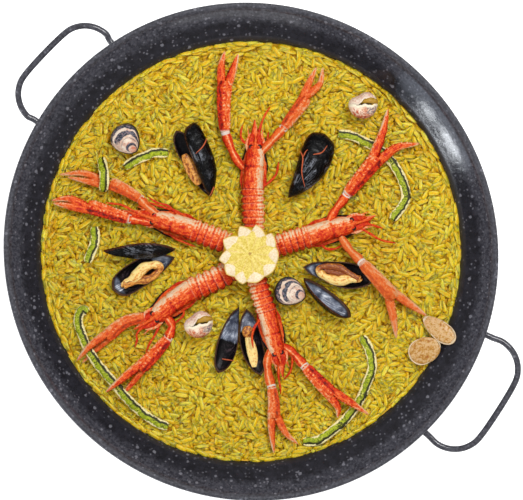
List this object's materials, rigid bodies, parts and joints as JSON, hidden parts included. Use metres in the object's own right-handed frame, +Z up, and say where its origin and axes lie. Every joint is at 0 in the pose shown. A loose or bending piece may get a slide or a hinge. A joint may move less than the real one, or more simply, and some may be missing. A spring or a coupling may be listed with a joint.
{
  "type": "seafood paella in its pan",
  "caption": "Wide two-handled steel pan of yellow rice topped with langoustines in a star, mussels, clams, green pepper strips and a half lemon.",
  "frame": {"origin": "centre of the pan's flat base, on the surface it stands on", "axes": "+Z up; +Y towards the top of the dish as laid out, where one langoustine points; handles lie at about 136 and -32 degrees from +X"},
  "size_m": [0.483, 0.4588, 0.048],
  "materials": {
    "enamel": "gloss, speckled",
    "rice": "moist, satin",
    "langoustine": "satin shell",
    "mussel_shell": "gloss outside, pearly inside",
    "mussel_meat": "moist",
    "clam_striped": "satin, banded",
    "clam_shell": "satin",
    "clam_meat": "moist",
    "pepper": "moist, satin",
    "lemon": "moist"
  },
  "bodies": {
    "root": {"pan": "enamel", "handle_1": "enamel", "handle_2": "enamel", "rice": "rice", "langoustine_1": "langoustine", "langoustine_2": "langoustine", "langoustine_3": "langoustine", "langoustine_4": "langoustine", "langoustine_5": "langoustine", "mussel_1_lower": "mussel_shell", "mussel_1_lower_meat": "mussel_meat", "mussel_1_upper": "mussel_shell", "mussel_2": "mussel_shell", "mussel_3_lower": "mussel_shell", "mussel_3_lower_meat": "mussel_meat", "mussel_3_upper": "mussel_shell", "mussel_4_left": "mussel_shell", "mussel_4_right": "mussel_shell", "mussel_4_right_meat": "mussel_meat", "mussel_5_upper": "mussel_shell", "mussel_5_upper_meat": "mussel_meat", "mussel_5_lower": "mussel_shell", "clam_1": "clam_striped", "clam_3": "clam_striped", "clam_5_lower": "clam_shell", "clam_5_lower_meat": "clam_meat", "clam_5_upper": "clam_shell", "clam_5_upper_meat": "clam_meat", "clam_2_front": "clam_shell", "clam_2_back": "clam_shell", "clam_2_meat": "clam_meat", "clam_4_front": "clam_shell", "clam_4_back": "clam_shell", "clam_4_meat": "clam_meat", "pepper_strip_1": "pepper", "pepper_strip_2": "pepper", "pepper_strip_3": "pepper", "pepper_strip_4": "pepper", "pepper_strip_5": "pepper", "pepper_strip_6": "pepper", "lemon": "lemon"}
  },
  "joints": []
}
